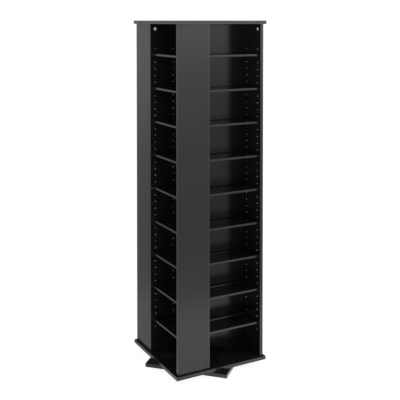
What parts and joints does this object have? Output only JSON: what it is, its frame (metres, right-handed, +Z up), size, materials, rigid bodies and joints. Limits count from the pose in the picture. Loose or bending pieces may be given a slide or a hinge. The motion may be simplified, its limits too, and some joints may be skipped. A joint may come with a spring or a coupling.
{
  "type": "rotating media tower",
  "caption": "Tall four-sided black media tower with adjustable shelves on every side, turning on a ball-race swivel above a square base board.",
  "frame": {"origin": "on the floor, under the spin axis", "axes": "+Z up; the south side's open front faces -Y, and the east, north and west sides follow counterclockwise seen from above"},
  "size_m": [0.5644, 0.5644, 1.64],
  "materials": {
    "black_laminate": "black melamine laminate on board, smooth satin",
    "shelf_laminate": "black melamine laminate on thin board, smooth satin",
    "black_metal": "black coated bent sheet",
    "cam_zinc": "bright zinc die casting",
    "screw_steel": "zinc plated",
    "beech": "raw beech",
    "swivel_steel": "zinc plated pressed sheet",
    "race_steel": "steel balls in their cage, drawn as one ring",
    "glide_plastic": "black moulded plastic"
  },
  "bodies": {
    "base": {"base_plate": "black_laminate", "base_glides": "glide_plastic", "swivel_lower_plate": "swivel_steel", "lower_plate_screws": "screw_steel"},
    "ball_ring": {"swivel_ball_ring": "race_steel"},
    "tower": {"swivel_upper_plate": "swivel_steel", "bottom_panel": "black_laminate", "top_panel": "black_laminate", "side_panel_south": "black_laminate", "side_panel_east": "black_laminate", "side_panel_north": "black_laminate", "side_panel_west": "black_laminate", "back_panel_south": "black_laminate", "back_panel_east": "black_laminate", "back_panel_north": "black_laminate", "back_panel_west": "black_laminate", "shelf_south_1": "shelf_laminate", "shelf_south_2": "shelf_laminate", "shelf_south_3": "shelf_laminate", "shelf_south_4": "shelf_laminate", "shelf_south_5": "shelf_laminate", "shelf_south_6": "shelf_laminate", "shelf_south_7": "shelf_laminate", "shelf_south_8": "shelf_laminate", "shelf_south_9": "shelf_laminate", "shelf_east_1": "shelf_laminate", "shelf_east_2": "shelf_laminate", "shelf_east_3": "shelf_laminate", "shelf_east_4": "shelf_laminate", "shelf_east_5": "shelf_laminate", "shelf_east_6": "shelf_laminate", "shelf_east_7": "shelf_laminate", "shelf_east_8": "shelf_laminate", "shelf_east_9": "shelf_laminate", "shelf_north_1": "shelf_laminate", "shelf_north_2": "shelf_laminate", "shelf_north_3": "shelf_laminate", "shelf_north_4": "shelf_laminate", "shelf_north_5": "shelf_laminate", "shelf_north_6": "shelf_laminate", "shelf_north_7": "shelf_laminate", "shelf_north_8": "shelf_laminate", "shelf_north_9": "shelf_laminate", "shelf_west_1": "shelf_laminate", "shelf_west_2": "shelf_laminate", "shelf_west_3": "shelf_laminate", "shelf_west_4": "shelf_laminate", "shelf_west_5": "shelf_laminate", "shelf_west_6": "shelf_laminate", "shelf_west_7": "shelf_laminate", "shelf_west_8": "shelf_laminate", "shelf_west_9": "shelf_laminate", "shelf_supports": "black_metal", "cam_locks": "cam_zinc", "cam_bolts": "screw_steel", "wood_dowels": "beech", "joint_screws": "screw_steel", "bottom_screws": "screw_steel", "upper_plate_screws": "screw_steel"}
  },
  "joints": [
    {"name": "tower_spin", "type": "hinge", "parent": "base", "child": "tower", "pos_m": [0, 0, 0.02], "axis": [0, 0, 1], "continuous": true},
    {"name": "ball_ring_roll", "type": "hinge", "parent": "base", "child": "ball_ring", "pos_m": [0, 0, 0.02], "axis": [0, 0, 1], "continuous": true}
  ],
  "couplings": [
    {"joint": "ball_ring_roll", "follows": "tower_spin", "ratio": 0.5}
  ]
}
